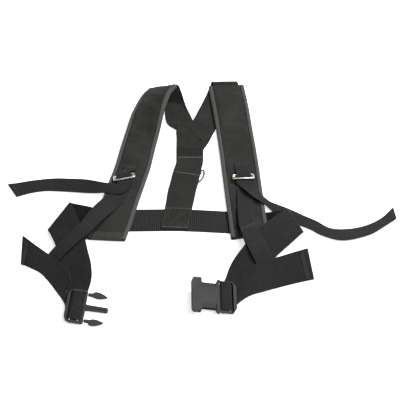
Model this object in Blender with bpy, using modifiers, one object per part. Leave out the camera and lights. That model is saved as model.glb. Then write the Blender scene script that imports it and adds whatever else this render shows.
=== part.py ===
"""Padded shoulder-and-waist harness, lying pads up and unbuckled on a flat surface.

Metres, +Z up. The stations below are in millimetres. The origin is under the middle of the back belt.
Each strap is a ribbon: a row is its two edge points, and the rows follow the webbing along its length.
"""

import math

import bmesh
import bpy
import numpy as np
from mathutils import Matrix, Vector

MM = 0.001
WEB_THICK = 1.8        # all webbing
CLOTH_THICK = 0.9      # pad face, lining and binding tape
FOAM_THICK = 3.6
GAP = 0.3              # air between neighbouring pieces
BACK_BELT_WIDTH = 49.0
SIDE_BELT_WIDTH = 54.0
NARROW_WIDTH = 28.5    # shoulder adjusters
KEEPER_WIDTH = 25.0
BINDING_LIP = 8.0      # how far the tape comes in over the pad's face
HEM_LIP = 13.0         # the wider folded hem at the pad's lower end
PAD_MID = 6.5          # height of the middle of a pad that lies flat

SLIDE_WIDTH = 39.5     # shoulder adjuster, across the strap
SLIDE_DEPTH = 14.0     # from the outer bar to the bar in the keeper
SLIDE_BAR = 3.2
FLOAT_AT = 5.6         # the floating bar's place between them
RING_WIRE = 4.0
RING_WIDTH = 59.0

BUCKLE_HALF = 32.0     # half the width of both buckle halves
SLOT_HALF = 28.3       # half the length of their webbing slots
BUCKLE_HIGH = 5.0      # thickness of the buckle frames

for old in list(bpy.data.objects):
    bpy.data.objects.remove(old, do_unlink=True)
PARTS = bpy.data.collections.new("padded_harness")
CUTTERS = bpy.data.collections.new("cutters")
for group in (PARTS, CUTTERS):
    bpy.context.scene.collection.children.link(group)


def material(name, colour, rough, metal=0.0):
    made = bpy.data.materials.new(name)
    made.use_nodes = True
    shader = made.node_tree.nodes["Principled BSDF"]
    shader.inputs["Base Color"].default_value = (*colour, 1)
    shader.inputs["Roughness"].default_value = rough
    shader.inputs["Metallic"].default_value = metal
    return made


WEBBING = material("webbing", (0.035, 0.035, 0.037), 0.85)
NARROW_WEBBING = material("narrow_webbing", (0.04, 0.04, 0.042), 0.85)
PAD_CLOTH = material("pad_cloth", (0.04, 0.04, 0.04), 0.9)
BINDING = material("binding_tape", (0.12, 0.12, 0.115), 0.8)
FOAM = material("foam", (0.05, 0.05, 0.05), 0.95)
PLASTIC = material("buckle_plastic", (0.09, 0.09, 0.09), 0.4)
STEEL = material("plated_steel", (0.75, 0.73, 0.7), 0.25, 1.0)
BRASS = material("brass_bar", (0.75, 0.6, 0.4), 0.3, 1.0)


def place(obj, paint, parent=None, group=PARTS):
    group.objects.link(obj)
    if paint:
        obj.data.materials.append(paint)
    if parent:
        obj.parent = parent
    return obj


def frame_at(name, centre, heading=0.0, pitch=0.0, roll=0.0):
    """An empty whose X, Y and Z are a piece's own axes; the piece and its cutters are children of it."""
    empty = bpy.data.objects.new(name, None)
    turn = (Matrix.Rotation(math.radians(heading), 4, "Z")
            @ Matrix.Rotation(math.radians(roll), 4, "Y")
            @ Matrix.Rotation(math.radians(pitch), 4, "X"))
    empty.matrix_world = Matrix.Translation(Vector(centre) * MM) @ turn
    PARTS.objects.link(empty)
    return empty


def in_world(empty, points):
    """A piece's own millimetres as world millimetres."""
    return [tuple((empty.matrix_world @ (Vector(p) * MM)) / MM) for p in points]


def smooth_rows(rows, step):
    """The rows with others between them, on a curve through the edge points (a centripetal Catmull-Rom)."""
    knots = [np.array(row, float).reshape(6) for row in rows]
    knots = [2 * knots[0] - knots[1], *knots, 2 * knots[-1] - knots[-2]]
    made = []
    for p0, p1, p2, p3 in zip(knots, knots[1:], knots[2:], knots[3:]):
        gaps = [max(np.linalg.norm(b - a), 1e-6) ** 0.5 for a, b in ((p0, p1), (p1, p2), (p2, p3))]
        t0, t1 = 0.0, gaps[0]
        t2, t3 = t1 + gaps[1], t1 + gaps[1] + gaps[2]
        count = max(1, round(np.linalg.norm(p2 - p1) / 1.414 / step))
        for k in range(count):
            t = t1 + (t2 - t1) * k / count
            a1 = (p0 * (t1 - t) + p1 * (t - t0)) / (t1 - t0)
            a2 = (p1 * (t2 - t) + p2 * (t - t1)) / (t2 - t1)
            a3 = (p2 * (t3 - t) + p3 * (t - t2)) / (t3 - t2)
            b1 = (a1 * (t2 - t) + a2 * (t - t0)) / (t2 - t0)
            b2 = (a2 * (t3 - t) + a3 * (t - t1)) / (t3 - t1)
            made.append((b1 * (t2 - t) + b2 * (t - t1)) / (t2 - t1))
    made.append(knots[-2])
    return [(row[:3], row[3:]) for row in made]


def turn_back(low, high, out, steps=4):
    """The rows of a half turn from one layer of webbing to the other, swelling along the direction out."""
    low, high = np.array(low, float), np.array(high, float)
    out = np.array(out, float) / np.linalg.norm(out)
    reach = np.linalg.norm(high - low, axis=1).mean() / 2
    middle = (low + high) / 2
    rows = []
    for k in range(1, steps):
        angle = math.pi * k / steps
        rows.append(middle + (low - middle) * math.cos(angle) + out * reach * math.sin(angle))
    return [tuple(map(tuple, row)) for row in rows]


def sheet_mesh(name, grid):
    """One open surface through a grid of points in millimetres."""
    mesh = bpy.data.meshes.new(name)
    across = len(grid[0])
    points = [tuple(np.array(p) * MM) for row in grid for p in row]
    faces = []
    for r in range(len(grid) - 1):
        for c in range(across - 1):
            i = r * across + c
            faces.append((i, i + 1, i + across + 1, i + across))
    mesh.from_pydata(points, [], faces)
    return mesh


def thicken(obj, thick):
    solid = obj.modifiers.new("thickness", "SOLIDIFY")
    solid.thickness = thick * MM
    solid.offset = 0
    solid.use_quality_normals = True
    return obj


def ribbon(name, rows, paint, thick=WEB_THICK, step=16, across=2, parent=None):
    """A strip of webbing or cloth along the rows."""
    grid = []
    for a, b in smooth_rows(rows, step):
        line = [a + (b - a) * k / across for k in range(across + 1)]
        grid.append([(x, y, max(z, WEB_THICK / 2)) for x, y, z in line])
    return thicken(place(bpy.data.objects.new(name, sheet_mesh(name, grid)), paint, parent), thick)


def row_frames(rows):
    """For each row: its edges, and unit vectors across it and out of its upper face."""
    made = []
    for i, (a, b) in enumerate(rows):
        before = rows[max(i - 1, 0)]
        after = rows[min(i + 1, len(rows) - 1)]
        along = (after[0] + after[1]) - (before[0] + before[1])
        across = (b - a) / np.linalg.norm(b - a)
        normal = np.cross(across, along)
        normal = normal / np.linalg.norm(normal)
        made.append((a, b, across, normal if normal[2] > 0 else -normal))
    return made


def pad_layer(name, frames, side, height, thick, paint):
    """A layer of a pad: side is how far it stays in from the pad's edges, height is above its middle."""
    grid = []
    for a, b, across, normal in frames:
        left = a + across * side + normal * height
        right = b - across * side + normal * height
        grid.append([left, (left + right) / 2, right])
    return thicken(place(bpy.data.objects.new(name, sheet_mesh(name, grid)), paint), thick)


def pad_binding(name, frames, left_side, half, lip):
    """The tape folded round one long edge of a pad, as a C section."""
    grid = []
    for a, b, across, normal in frames:
        edge, inward = (a, across) if left_side else (b, -across)
        grid.append([
            edge + inward * lip + normal * half,
            edge + inward * 1.5 + normal * half,
            edge,
            edge + inward * 1.5 - normal * half,
            edge + inward * lip - normal * half,
        ])
    return thicken(place(bpy.data.objects.new(name, sheet_mesh(name, grid)), BINDING), CLOTH_THICK)


def pad_hem(name, frames, half, lip, side):
    """The folded hem over the pad's lower end, between the two bindings. The first frame is that end."""
    a, b, across, normal = frames[0]
    along = (frames[1][0] + frames[1][1] - a - b)
    along = along / np.linalg.norm(along)
    left = a + across * side
    right = b - across * side
    rows = [
        (left + along * lip + normal * half, right + along * lip + normal * half),
        (left + along * 0.5 + normal * half, right + along * 0.5 + normal * half),
        (left - along * 1.3, right - along * 1.3),
        (left + along * 0.5 - normal * half, right + along * 0.5 - normal * half),
        (left + along * lip - normal * half, right + along * lip - normal * half),
    ]
    grid = [[p, (p + q) / 2, q] for p, q in rows]
    return thicken(place(bpy.data.objects.new(name, sheet_mesh(name, grid)), PAD_CLOTH), CLOTH_THICK)


def build_pad(prefix, rows, step):
    frames = row_frames(smooth_rows(rows, step))
    face_at = FOAM_THICK / 2 + GAP + CLOTH_THICK / 2
    tape_at = face_at + CLOTH_THICK + GAP + 0.2
    inside = 3.5
    inner = [(a + (frames[1][0] - a) * 0.05, b + (frames[1][1] - b) * 0.05, c, n)
             for a, b, c, n in frames[:1]] + frames[1:]
    pad_layer(prefix + "_pad_face", inner, inside, face_at, CLOTH_THICK, PAD_CLOTH)
    pad_layer(prefix + "_pad_foam", inner, inside, 0, FOAM_THICK, FOAM)
    pad_layer(prefix + "_pad_lining", inner, inside, -face_at, CLOTH_THICK, PAD_CLOTH)
    pad_binding(prefix + "_pad_binding_west", frames, True, tape_at, BINDING_LIP)
    pad_binding(prefix + "_pad_binding_east", frames, False, tape_at, BINDING_LIP)
    pad_hem(prefix + "_pad_hem", frames, tape_at, HEM_LIP, BINDING_LIP + 1)


def box(name, parent, low, high, paint=None, group=PARTS):
    """A box between two corners, in the millimetres of its parent."""
    mesh = bpy.data.meshes.new(name)
    shape = bmesh.new()
    bmesh.ops.create_cube(shape, size=1)
    size = Vector(high) - Vector(low)
    middle = (Vector(high) + Vector(low)) / 2
    for v in shape.verts:
        v.co = Vector((v.co.x * size.x, v.co.y * size.y, v.co.z * size.z)) * MM + middle * MM
    shape.to_mesh(mesh)
    shape.free()
    return place(bpy.data.objects.new(name, mesh), paint, parent, group)


def outline(name, parent, points, low, high, paint=None, group=PARTS, holes=(), soften=0.0):
    """A flat shape with holes, from low to high along its parent's Z."""
    curve = bpy.data.curves.new(name, "CURVE")
    curve.dimensions = "2D"
    curve.fill_mode = "BOTH"
    for loop in (points, *holes):
        spline = curve.splines.new("POLY")
        spline.points.add(len(loop) - 1)
        for point, (x, y) in zip(spline.points, loop):
            point.co = (x * MM, y * MM, 0, 1)
        spline.use_cyclic_u = True
    curve.extrude = (high - low) / 2 * MM
    obj = place(bpy.data.objects.new(name, curve), paint, parent, group)
    obj.location = (0, 0, (low + high) / 2 * MM)
    if soften:
        weld = obj.modifiers.new("weld", "WELD")
        weld.merge_threshold = 1e-6
        bevel = obj.modifiers.new("soften", "BEVEL")
        bevel.width = soften * MM
        bevel.segments = 1
        bevel.limit_method = "ANGLE"
        bevel.angle_limit = math.radians(50)
    return obj


def as_cutter(obj):
    obj.hide_render = True
    obj.display_type = "WIRE"
    return obj


def combine(target, other, operation):
    step = target.modifiers.new(operation.lower(), "BOOLEAN")
    step.operation = operation
    step.solver = "EXACT"
    step.object = as_cutter(other)
    return target


def rounded(x0, y0, x1, y1, r, steps=2):
    """A rectangle's outline with round corners."""
    points = []
    for cx, cy, start in ((x1 - r, y1 - r, 0), (x0 + r, y1 - r, 90), (x0 + r, y0 + r, 180), (x1 - r, y0 + r, 270)):
        for k in range(steps + 1):
            angle = math.radians(start + 90 * k / steps)
            points.append((cx + r * math.cos(angle), cy + r * math.sin(angle)))
    return points


def tube(name, points, radius, paint, closed=False, parent=None, sides=2):
    """A round rod along a path, in the millimetres of its parent."""
    curve = bpy.data.curves.new(name, "CURVE")
    curve.dimensions = "3D"
    curve.bevel_depth = radius * MM
    curve.bevel_resolution = sides
    curve.use_fill_caps = True
    spline = curve.splines.new("POLY")
    spline.points.add(len(points) - 1)
    for point, co in zip(spline.points, points):
        point.co = (*(c * MM for c in co), 1)
    spline.use_cyclic_u = closed
    return place(bpy.data.objects.new(name, curve), paint, parent)


def prism(name, parent, section, low, high, paint=None, group=PARTS, lengthwise=False):
    """A bar along its parent's Y with a section in X and Z; lengthwise, it runs along X with one in Y and Z."""
    shape = bmesh.new()
    ends = []
    for t in (low, high):
        points = [(t, a, b) if lengthwise else (a, t, b) for a, b in section]
        ends.append([shape.verts.new(Vector(p) * MM) for p in points])
    shape.faces.new(ends[0])
    shape.faces.new(ends[1][::-1])
    for i in range(len(section)):
        j = (i + 1) % len(section)
        shape.faces.new((ends[0][j], ends[0][i], ends[1][i], ends[1][j]))
    bmesh.ops.recalc_face_normals(shape, faces=shape.faces)
    mesh = bpy.data.meshes.new(name)
    shape.to_mesh(mesh)
    shape.free()
    return place(bpy.data.objects.new(name, mesh), paint, parent, group)


def plate(name, parent, points, low, high, paint=None, group=PARTS, holes=(), soften=0.0):
    """The outline as a mesh, so that Booleans can work on it."""
    curve = outline(name + "_outline", None, points, low, high, None, CUTTERS, holes)
    bpy.context.view_layer.update()
    graph = bpy.context.evaluated_depsgraph_get()
    mesh = bpy.data.meshes.new_from_object(curve.evaluated_get(graph))
    shape = bmesh.new()
    shape.from_mesh(mesh)
    bmesh.ops.remove_doubles(shape, verts=shape.verts, dist=1e-6)
    bmesh.ops.recalc_face_normals(shape, faces=shape.faces)
    bmesh.ops.translate(shape, verts=shape.verts, vec=(0, 0, (low + high) / 2 * MM))
    shape.to_mesh(mesh)
    shape.free()
    mesh.name = name
    bpy.data.objects.remove(curve, do_unlink=True)
    obj = place(bpy.data.objects.new(name, mesh), paint, parent, group)
    if soften:
        bevel = obj.modifiers.new("soften", "BEVEL")
        bevel.width = soften * MM
        bevel.segments = 1
        bevel.limit_method = "ANGLE"
        bevel.angle_limit = math.radians(50)
    return obj


# Webbing paths. A row is ((x, y, z), (x, y, z)): the strap's two edges.

LEFT_PAD = [
    ((-157, -44, 6.5), (-90, -48, 6.5)),
    ((-148, -8, 6.5), (-80, -10, 6.5)),
    ((-137, 32, 6.5), (-71, 31, 6.5)),
    ((-124, 86, 7), (-58, 85, 7)),
    ((-116, 116, 8), (-51, 115, 8)),
    ((-107, 163, 10), (-43, 159, 13)),
    ((-98, 204, 13), (-35, 197, 21)),
    ((-90, 238, 16), (-29, 228, 31)),
    ((-80, 266, 18), (-23, 253, 40)),
    ((-69, 290, 18), (-15, 272, 46)),
    ((-57, 306, 17), (-5, 285, 49)),
]
RIGHT_PAD = [
    ((94, -45, 6.5), (160, -33, 6.5)),
    ((91, -13, 6.5), (157, -8, 6.5)),
    ((87, 29, 6.5), (154, 30, 6.5)),
    ((80, 111, 6.5), (148, 111, 6.5)),
    ((76, 157, 6.5), (144, 157, 6.5)),
    ((70, 215, 6.5), (138, 216, 6.5)),
    ((63, 274, 6.5), (132, 275, 6.5)),
    ((57, 322, 6.5), (125, 326, 6.5)),
]

BACK_BELT = [
    ((-106, -25.5, 0.9), (-106, 23.5, 0.9)),
    ((-60, -25, 0.9), (-60, 24, 0.9)),
    ((0, -24.5, 0.9), (0, 24.5, 0.9)),
    ((60, -27.5, 0.9), (60, 21.5, 0.9)),
    ((121, -32, 0.9), (118, 17, 0.9)),
]

male_at = frame_at("male_axes", (-165, -186.5, 11), heading=-5, roll=8)
female_at = frame_at("female_axes", (83, -170.5, 12.6), heading=1, roll=13)
left_slide_at = frame_at("left_slide_axes", (-96, 78, 22.2), heading=11, pitch=-24, roll=-4)
right_slide_at = frame_at("right_slide_axes", (118.5, 80.5, 20), heading=3, pitch=-24)


def through_buckle(at, inner, half, rise=((9.0, -4.5), (9.0, -1))):
    """The rows up the inner slot, over the web bar, down the outer slot and under the outer bar."""
    path = [*rise, (8.5, 1.8), (6.5, 3.3), (0, 3.7), (-6.5, 3.3), (-8.5, 1.8), (-9.0, -1.2),
            (-10.2, -3.8), (-12.6, -4.9)]
    return [tuple(in_world(at, [(x * inner, -half, z), (x * inner, half, z)])) for x, z in path]


def through_slide(at, half):
    """The rows of an adjuster strap round the floating bar, from the load side to the tail."""
    path = [(-5, -9.5), (1, -7.2), (6, -5.2), (8.1, -3.0), (8.6, 0), (8.1, 2.6), (5.8, 3.9), (3.5, 2.6),
            (2.85, 0), (2.7, -2.0), (1, -3.7), (-4.5, -5.6)]
    return [tuple(in_world(at, [(-half, y, z), (half, y, z)])) for y, z in path]


def build_side_belts():
    half = SIDE_BELT_WIDTH / 2
    low, high = ((-225, -27, 4), (-187, 21, 24)), ((-225, -30, 8.5), (-187, 17, 28))
    load = [
        ((-106.5, -30, 0.9), (-106.5, 24, 0.9)),
        ((-153, -32, 0.9), (-140, 23, 1.1)),
        ((-176, -32, 1.2), (-154, 24, 8.5)),
        ((-205, -30, 2.4), (-172, 23, 16)),
        low,
        *turn_back(low, high, (-0.77, 0.62, 0)),
        high,
        ((-217, -45, 10), (-177, -5, 28)),
        ((-209, -64, 11), (-168, -28, 27)),
        ((-203, -86, 12), (-158, -57, 27)),
        ((-196, -106, 12), (-151, -83, 26)),
        ((-190, -130, 10), (-144, -109, 24)),
        ((-184, -153, 7), (-142, -130, 15)),
        ((-176, -177, 4.2), (-146, -146, 5)),
        ((-168, -195, 2.4), (-151, -153, 3)),
        ((-163, -205, 2.0), (-159.5, -155, 2.2)),
        ((-159, -211, 2.6), (-157.2, -158.5, 2.8)),
    ]
    tail = [
        tuple(in_world(male_at, [(-15.5, -24, -5.1), (-17, 27, -5.1)])),
        ((-182, -191, 6), (-184, -157, 10)),
        ((-186, -176, 5), (-183, -155, 22)),
        ((-199, -156, 3), (-174, -150, 36)),
        ((-213, -136, 2), (-181, -135, 42)),
        ((-231, -115, 1.6), (-197, -119, 46)),
        ((-247, -105, 1.6), (-220, -102, 48)),
        ((-257, -100, 1.8), (-238, -88, 49)),
        ((-266, -96, 2), (-259, -70, 49)),
    ]
    rise = ((12.2, -6.0), (10.2, -3.4), (9.9, -1.0))
    ribbon("side_belt_left", load + through_buckle(male_at, 1, half, rise) + tail, WEBBING)
    low, high = ((219, -31, 5), (192, 17, 11)), ((218, -34.5, 8), (191, 12.5, 17))
    load = [
        ((121.5, -36, 0.9), (118.5, 18, 0.9)),
        ((162, -36, 0.9), (157, 17, 1.0)),
        ((180, -36, 1.4), (168, 14, 7.4)),
        low,
        *turn_back(low, high, (0.87, 0.49, 0)),
        high,
        ((203, -50, 8), (173, -6, 23)),
        ((188, -65, 7), (155, -24, 26)),
        ((175, -78, 6), (138, -39, 27)),
        ((159, -97, 5), (123, -62, 27)),
        ((145, -115, 4), (110, -80, 24)),
        ((131, -133, 3), (99, -92, 16)),
        ((117, -152, 1.5), (90, -105, 7)),
        ((104, -172, 1), (84, -122, 2)),
        ((90, -188, 0.95), (77.5, -136, 1.2)),
        ((79, -195, 1.2), (73.8, -141.5, 1.6)),
    ]
    tail = [
        ((98, -186, 4.1), (97, -137, 4.6)),
        ((103, -178, 4.6), (102.5, -129, 7)),
        ((123, -162, 4), (114, -117, 16)),
        ((149, -152, 3), (136, -108, 22)),
        ((185, -140, 2), (173, -95, 23)),
        ((209, -133, 1.8), (197, -87, 24.5)),
        ((233, -127, 1.6), (223, -79, 26)),
    ]
    ribbon("side_belt_right", load + through_buckle(female_at, -1, half) + tail, WEBBING)


def build_adjusters():
    half = NARROW_WIDTH / 2
    # Left: the end sewn back on itself, the loop round the belt, up to the slide, then the tail.
    load = [
        ((-156, -9, 26.5), (-135, -26, 25)),
        ((-159.5, -16, 26.5), (-140, -33, 25)),
        ((-164, -25, 23.5), (-146, -42, 23.5)),
        ((-170, -36, 20), (-151, -50, 21)),
        ((-190, -55, 11.5), (-169, -68, 15)),
        ((-207, -73, 6), (-187, -85, 8.5)),
        ((-217, -82, 4.5), (-198, -98, 6)),
        ((-221, -85, 8), (-202, -101, 10)),
        ((-219, -82, 14), (-199, -98, 17)),
        ((-208, -71, 20), (-186, -85, 24)),
        ((-191, -52, 27), (-168, -68, 30)),
        ((-169, -32, 33), (-149, -50, 33)),
        ((-158, -12, 31), (-136, -29, 30)),
        ((-146, 12, 27), (-122, -7, 23)),
        ((-132, 35, 20), (-107, 17, 15)),
        ((-122, 51, 13), (-94, 42, 12)),
        ((-112, 64, 11.5), (-84, 62, 12.6)),
    ]
    tail = [
        ((-111, 69, 17), (-85, 68, 19.5)),
        ((-114, 68, 18), (-90, 58, 17)),
        ((-119, 69, 20), (-99, 49, 15.5)),
        ((-128, 70, 20), (-112, 48, 15)),
        ((-143, 75, 18), (-129, 51, 13.5)),
        ((-167, 84, 13), (-160, 57, 6)),
        ((-197, 89, 9), (-198, 62, 3.5)),
        ((-224, 92, 6), (-236, 65, 1.8)),
        ((-259, 90, 3.4), (-260, 62, 1.3)),
        ((-309, 81, 1.9), (-290, 52, 1.2)),
    ]
    ribbon("left_adjuster_strap", load + through_slide(left_slide_at, half) + tail, NARROW_WEBBING)
    load = [
        ((107, -22, 22.6), (134, -16, 24)),
        ((109, -33, 24), (136, -27, 25.5)),
        ((113, -52, 24), (140, -40, 23.5)),
        ((119, -72, 19.5), (146, -56, 17.5)),
        ((126, -87, 12), (153, -73, 8)),
        ((133, -101, 5), (161, -89, 2)),
        ((141, -118, 1.4), (167, -99, 1.3)),
        ((145, -126, 4), (170, -104, 4.5)),
        ((142, -121, 9), (167, -99, 10)),
        ((135, -104, 16), (163, -91, 16.5)),
        ((126, -89, 26), (154, -75, 26)),
        ((118, -71, 31), (145, -54, 31.5)),
        ((112, -51, 30), (139, -40, 31)),
        ((108, -32, 26), (135, -24, 27)),
        ((106, -2, 20), (133, 0, 21)),
        ((105.5, 36, 14.6), (134, 35, 14.2)),
        ((104.5, 60, 12.2), (133, 61, 12)),
    ]
    tail = [
        ((109, 67, 16.5), (137, 70, 15)),
        ((120, 51, 22.5), (144, 60, 14)),
        ((133, 37, 22), (152, 46, 13)),
        ((148, 29, 16), (164, 36, 9)),
        ((163, 20, 8), (180, 32, 4)),
        ((178, 6, 1.6), (199, 25, 1.4)),
        ((210, -10, 1.2), (228, 8, 1.2)),
        ((233, -22, 2.4), (247, -3, 1.6)),
        ((251, -36, 5), (264, -16, 1.8)),
        ((285, -49, 7), (285, -21, 2.4)),
        ((334, -38, 8), (326, -14, 1.4)),
        ((367, -17, 9), (359, 3, 1.4)),
        ((386, -2, 7), (384, 26, 4)),
    ]
    ribbon("right_adjuster_strap", load + through_slide(right_slide_at, half) + tail, NARROW_WEBBING)


def build_keepers():
    """A short strap sewn on the pad's face, folded round the inner bar of the slide."""
    half = KEEPER_WIDTH / 2
    for side, at, x, far, low in (("left", left_slide_at, -88, 114, 12.4), ("right", right_slide_at, 115, 122, 10.9)):
        depth = SLIDE_DEPTH
        around = [(depth + 3, -2.2), (depth, -3.1), (depth - 2.2, -2.2), (depth - 3.1, 0), (depth - 2.2, 2.2),
                  (depth, 3.1), (depth + 4, 3.4)]
        loop = [tuple(in_world(at, [(-half, y, z), (half, y, z)])) for y, z in around]
        under = [((x - half, y, low), (x + half, y, low)) for y in (far, far - 8)]
        over = [((x - half, y, low + 2.3), (x + half, y, low + 2.3)) for y in (far - 8, far)]
        ribbon(side + "_slide_keeper", under + loop + over, NARROW_WEBBING, step=12)


def build_slides():
    """A metal frame hanging in the keeper, and a bar that slides along its sides and grips the strap."""
    half = SLIDE_WIDTH / 2
    for side, at in (("left", left_slide_at), ("right", right_slide_at)):
        rail = 3.2
        outer = rounded(-half, -SLIDE_BAR / 2, half, SLIDE_DEPTH + SLIDE_BAR / 2, 1.4, 1)
        hole = rounded(-half + rail, SLIDE_BAR / 2, half - rail, SLIDE_DEPTH - SLIDE_BAR / 2, 0.8, 1)
        plate(side + "_slide_frame", at, outer, -1.2, 1.2, STEEL, holes=[hole])
        name = side + "_slide_bar"
        bar = tube(name + "_rod", [(-half + 2.4, FLOAT_AT, 0), (half - 2.4, FLOAT_AT, 0)], 1.5, None, parent=at)
        body = box(name, at, (-half + rail + 0.5, FLOAT_AT - 1.3, -1.3), (half - rail - 0.5, FLOAT_AT + 1.3, 1.3), BRASS)
        bpy.data.objects.remove(bar, do_unlink=True)
        for sign in (-1, 1):
            root, tip = half - rail - 1.8, half + 0.4
            x0, x1 = sorted((sign * root, sign * tip))
            for low, high in ((1.6, 2.5), (-2.5, -1.6)):
                tine = box(f"{side}_tine_{sign}_{low}", at, (x0, FLOAT_AT - 1.2, low), (x1, FLOAT_AT + 1.2, high),
                           group=CUTTERS)
                combine(body, tine, "UNION")
            x0, x1 = sorted((sign * (root - 0.1), sign * (root + 1.5)))
            post = box(f"{side}_post_{sign}", at, (x0, FLOAT_AT - 1.3, -2.3), (x1, FLOAT_AT + 1.3, 2.3), group=CUTTERS)
            combine(body, post, "UNION")


def build_back():
    """The two rear straps of the V, the panel over their crossing, the back strap and the ring in its pocket."""
    ribbon("left_rear_strap", [
        ((-47.5, 305.5, 21.5), (-8, 290, 46)),
        ((-41, 311, 18.5), (-2, 292, 43)),
        ((-36, 310, 13), (3.5, 287, 32)),
        ((-33, 304, 8.5), (8, 280, 20)),
        ((-29, 292, 4.8), (13, 270, 9.5)),
        ((-28, 264, 3.2), (20, 255, 4)),
        ((-26, 240, 3.1), (25.5, 241, 3.1)),
        ((-20, 225, 3.1), (32, 222, 3.1)),
        ((-6, 214, 3.1), (38, 205, 3.1)),
        ((6, 205, 3.1), (43, 188, 3.1)),
    ], WEBBING, step=12)
    high, low = ((62, 337, 5.4), (113, 338, 5.4)), ((61, 336.5, 0.95), (112, 337.5, 0.95))
    ribbon("right_rear_strap", [
        ((66.5, 329, 6.4), (115.5, 331, 6.4)),
        high,
        *turn_back(high, low, (0, 1, 0)),
        low,
        ((57, 322, 0.95), (104, 306, 0.95)),
        ((42, 280, 0.95), (87.5, 262, 0.95)),
        ((27, 242, 0.95), (72.5, 224, 0.95)),
        ((11, 203, 0.95), (56, 183, 0.95)),
        ((4, 186, 0.95), (47, 166, 0.95)),
    ], WEBBING, step=14)
    ribbon("yoke_panel", [
        ((-5, 222, 5.3), (8, 220.5, 5.3)),
        ((-5, 213, 5.3), (22, 210, 5.3)),
        ((-5, 203, 5.3), (34, 193, 5.3)),
        ((-4, 190, 5.3), (43, 176, 5.3)),
        ((-4, 173, 5.3), (46, 166, 5.3)),
        ((-4, 158, 4.6), (46, 156, 4.6)),
        ((-4, 147, 2.8), (46, 147, 2.8)),
        ((-4, 136, 1.2), (45, 136, 1.2)),
        ((-4.5, 122, 0.95), (43, 122, 0.95)),
        ((-5, 105, 0.95), (42, 105, 0.95)),
    ], WEBBING, step=11)
    ribbon("back_strap", [
        ((-3.5, 146, 5.2), (46, 146, 5.2)),
        ((-3, 138, 4.2), (46, 138, 4.2)),
        ((-5, 125, 5.8), (45, 125, 5.8)),
        ((-8, 112, 7.8), (42, 111, 7.8)),
        ((-11, 98, 7.3), (40, 97, 7.3)),
        ((-14, 82, 6.1), (37, 81, 6.1)),
        ((-18, 65, 4.0), (33, 64, 4.0)),
        ((-20.5, 45, 2.2), (29.5, 44, 2.2)),
        ((-22.5, 28, 3.1), (26.5, 27, 3.1)),
        ((-25, 10, 3.1), (24, 9, 3.1)),
        ((-30, -20, 3.1), (19, -22, 3.1)),
    ], WEBBING, step=14)
    ring_at = frame_at("ring_axis", (20, 112, 4.3), pitch=3.6)
    reach = RING_WIDTH / 2 - RING_WIRE / 2
    loop = [(-reach + 2, 0, 0), (0, 0, 0), (reach - 2, 0, 0), (reach, -2, 0)]
    for k in range(13):
        angle = math.radians(-180 * k / 12)
        loop.append((reach * math.cos(angle), -5 + reach * math.sin(angle), 0))
    loop.append((-reach, -2, 0))
    tube("d_ring", loop, RING_WIRE / 2, STEEL, closed=True, parent=ring_at, sides=2)


WEB_BAR = [(-6, -0.6), (-4, -1.8), (4, -1.8), (6, -0.6), (6, 0.6), (4, 1.8), (-4, 1.8), (-6, 0.6)]


def build_male():
    """The half with two springing prongs and a centre guide; its frame holds the webbing."""
    high = BUCKLE_HIGH / 2
    outer = [(16, 30), (13, 32), (-7, 32), (-13.5, 29.3), (-17, 21), (-17, -21), (-13.5, -29.3), (-7, -32),
             (13, -32), (16, -30)]
    opening = rounded(-12, -SLOT_HALF, 12, SLOT_HALF, 1.0, 1)
    body = plate("buckle_male_frame", male_at, outer, -high, high, PLASTIC, holes=[opening])
    combine(body, prism("male_web_bar", male_at, WEB_BAR, -SLOT_HALF - 1.5, SLOT_HALF + 1.5, group=CUTTERS), "UNION")
    guide = [(13, -6), (22, -5), (51, -4.6), (53.5, -3.4), (53.5, 3.4), (51, 4.6), (22, 5), (13, 6)]
    combine(body, plate("male_guide", male_at, guide, -1.9, 1.9, group=CUTTERS), "UNION")
    ridge = rounded(12.5, -1.2, 50, 1.2, 0.6, 1)
    combine(body, plate("male_guide_ridge", male_at, ridge, 1.0, 3.1, group=CUTTERS), "UNION")
    for side, sign in (("north", 1), ("south", -1)):
        prong = [(16.4, 26.5), (17.4, 28), (24, 28.6), (25.5, 31), (29, 32.4), (36, 31.8), (42, 29.4), (49, 25.4),
                 (48.8, 24.2), (40, 21.3), (31, 20.6), (26, 22.6), (17.4, 23), (16.4, 24.5)]
        points = [(x, y * sign) for x, y in prong][::sign]
        plate(f"buckle_prong_{side}", male_at, points, -2.1, 2.1, PLASTIC, soften=0.5)


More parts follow.
